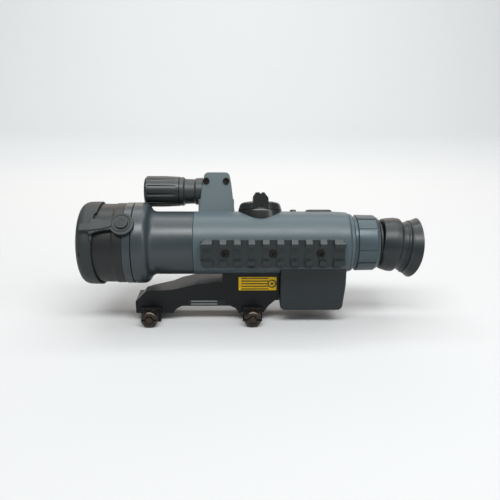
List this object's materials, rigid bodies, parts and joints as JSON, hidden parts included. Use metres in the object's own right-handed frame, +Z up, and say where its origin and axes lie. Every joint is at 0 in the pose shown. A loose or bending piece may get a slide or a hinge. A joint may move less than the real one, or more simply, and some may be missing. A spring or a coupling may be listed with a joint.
{
  "type": "night-vision sight",
  "caption": "Night-vision sight: cylindrical body with strap-tethered objective cap, side accessory rail, infrared illuminator, battery box and a two-foot rail clamp bracket.",
  "frame": {"origin": "on the top plane of the weapon rail that the bracket clamps, half way between its two clamp feet and under the optical axis", "axes": "+X along the optical axis from the objective to the eyepiece, +Z up, -Y towards the accessory rail"},
  "size_m": [0.2473, 0.0669, 0.1071],
  "materials": {
    "housing_paint": "satin blue-grey paint",
    "front_paint": "satin dark grey paint",
    "rail_anodise": "matt anodised",
    "bracket_anodise": "matt black anodised",
    "black_plastic": "semi-gloss",
    "grip_plastic": "satin",
    "rubber_cap": "matt",
    "rubber_black": "satin",
    "steel_dark": "oiled gunmetal",
    "optical_glass": "coated",
    "cell_anodise": "matt black",
    "intensifier_case": "matt",
    "board_green": "satin",
    "battery_wrap": "gloss",
    "contact_brass": "plated",
    "label_yellow": "printed film",
    "label_dark": "printed film"
  },
  "bodies": {
    "housing": {"main_housing": "housing_paint", "front_housing": "front_paint", "housing_seal": "rubber_black", "objective_rear_lens": "optical_glass", "rear_lens_retainer": "cell_anodise", "intensifier_tube": "intensifier_case", "intensifier_clamp_ring": "cell_anodise", "photocathode_window": "optical_glass", "phosphor_screen": "optical_glass", "relay_lens": "optical_glass", "circuit_board": "board_green", "battery": "battery_wrap", "battery_contacts": "contact_brass", "door_hinge_pin": "steel_dark", "door_hinge_lugs": "steel_dark", "side_rail": "rail_anodise", "rail_screws": "steel_dark", "mount_bracket": "bracket_anodise", "bracket_screws": "steel_dark", "clamp_bolts": "steel_dark", "illuminator_arm": "housing_paint", "illuminator_screws": "steel_dark", "illuminator_body": "black_plastic", "illuminator_emitter": "optical_glass", "eyepiece_collar": "housing_paint", "status_lamp": "optical_glass", "warning_label": "label_yellow", "maker_label": "label_dark"},
    "barrel": {"focus_ring": "front_paint", "barrel_sleeve": "rubber_cap", "cap_strap": "rubber_cap", "cap_peg": "rubber_cap"},
    "cap": {"objective_cap": "rubber_cap"},
    "lens_cell": {"lens_cell": "cell_anodise", "objective_front_lens": "optical_glass", "objective_middle_lens": "optical_glass", "lens_retaining_ring": "cell_anodise", "lens_spacer": "cell_anodise"},
    "mode_switch": {"mode_switch": "black_plastic"},
    "brightness_rocker": {"brightness_rocker": "rubber_black"},
    "windage_dial": {"windage_dial": "black_plastic"},
    "elevation_dial": {"elevation_dial": "black_plastic"},
    "reticle_frame": {"reticle_frame": "cell_anodise"},
    "reticle_plate": {"reticle_plate": "optical_glass"},
    "diopter_ring": {"diopter_ring": "grip_plastic"},
    "ocular": {"ocular_cell": "cell_anodise", "field_lens": "optical_glass", "ocular_middle_lens": "optical_glass", "eye_lens": "optical_glass", "eye_lens_retainer": "cell_anodise", "eyecup": "rubber_black"},
    "illuminator_head": {"illuminator_head": "black_plastic", "illuminator_lens": "optical_glass"},
    "battery_door": {"battery_door": "black_plastic"},
    "front_jaw": {"front_clamp_jaw": "bracket_anodise"},
    "front_nut": {"front_clamp_nut": "steel_dark"},
    "rear_jaw": {"rear_clamp_jaw": "bracket_anodise"},
    "rear_nut": {"rear_clamp_nut": "steel_dark"}
  },
  "joints": [
    {"name": "focus_turn", "type": "hinge", "parent": "housing", "child": "barrel", "pos_m": [-0.06, 0, 0.0513], "axis": [1, 0, 0], "range_deg": [-60, 60]},
    {"name": "focus_travel", "type": "slide", "parent": "housing", "child": "lens_cell", "axis": [1, 0, 0], "range_m": [-0.0015, 0.0015]},
    {"name": "cap_hinge", "type": "hinge", "parent": "barrel", "child": "cap", "pos_m": [-0.0737, -0.02452, 0.07338], "axis": [0, 0.6691, 0.7431], "range_deg": [0, 120]},
    {"name": "mode_switch_turn", "type": "hinge", "parent": "housing", "child": "mode_switch", "pos_m": [0.0434, 0.00924, 0.07667], "axis": [0, 0.342, 0.9397], "range_deg": [0, 90]},
    {"name": "brightness_rock", "type": "hinge", "parent": "housing", "child": "brightness_rocker", "pos_m": [0.087, 0.00725, 0.07122], "axis": [0, 0.9397, -0.342], "range_deg": [-3, 3], "stiffness_Nm_per_rad": 0.2},
    {"name": "windage_turn", "type": "hinge", "parent": "housing", "child": "windage_dial", "pos_m": [0.068, 0.025, 0.0513], "axis": [0, 1, 0], "range_deg": [-360, 360]},
    {"name": "elevation_turn", "type": "hinge", "parent": "housing", "child": "elevation_dial", "pos_m": [0.088, 0.025, 0.0513], "axis": [0, 1, 0], "range_deg": [-360, 360]},
    {"name": "reticle_windage", "type": "slide", "parent": "housing", "child": "reticle_frame", "axis": [0, 1, 0], "range_m": [-0.00025, 0.00025]},
    {"name": "reticle_elevation", "type": "slide", "parent": "reticle_frame", "child": "reticle_plate", "axis": [0, 0, 1], "range_m": [-0.00025, 0.00025]},
    {"name": "diopter_turn", "type": "hinge", "parent": "housing", "child": "diopter_ring", "pos_m": [0.119, 0, 0.0513], "axis": [1, 0, 0], "range_deg": [-40, 100]},
    {"name": "ocular_travel", "type": "slide", "parent": "housing", "child": "ocular", "axis": [1, 0, 0], "range_m": [-0.0008, 0.002]},
    {"name": "illuminator_focus", "type": "hinge", "parent": "housing", "child": "illuminator_head", "pos_m": [-0.03, 0.02492, 0.08469], "axis": [1, 0, 0], "range_deg": [-60, 60]},
    {"name": "battery_door_hinge", "type": "hinge", "parent": "housing", "child": "battery_door", "pos_m": [0.081, 0.014, 0.0047], "axis": [-1, 0, 0], "range_deg": [0, 100]},
    {"name": "front_jaw_slide", "type": "slide", "parent": "housing", "child": "front_jaw", "axis": [0, -1, 0], "range_m": [0, 0.0025]},
    {"name": "front_nut_turn", "type": "hinge", "parent": "front_jaw", "child": "front_nut", "pos_m": [-0.0378, -0.02, -0.0003], "axis": [0, -1, 0], "range_deg": [0, 900]},
    {"name": "rear_jaw_slide", "type": "slide", "parent": "housing", "child": "rear_jaw", "axis": [0, -1, 0], "range_m": [0, 0.0025]},
    {"name": "rear_nut_turn", "type": "hinge", "parent": "rear_jaw", "child": "rear_nut", "pos_m": [0.0378, -0.02, -0.0003], "axis": [0, -1, 0], "range_deg": [0, 900]}
  ],
  "couplings": [
    {"joint": "focus_turn", "follows": "focus_travel", "rad_per_m": 698.13},
    {"joint": "windage_turn", "follows": "reticle_windage", "rad_per_m": 25133},
    {"joint": "elevation_turn", "follows": "reticle_elevation", "rad_per_m": 25133},
    {"joint": "diopter_turn", "follows": "ocular_travel", "rad_per_m": 872.66},
    {"joint": "front_nut_turn", "follows": "front_jaw_slide", "rad_per_m": 6283.2},
    {"joint": "rear_nut_turn", "follows": "rear_jaw_slide", "rad_per_m": 6283.2}
  ]
}
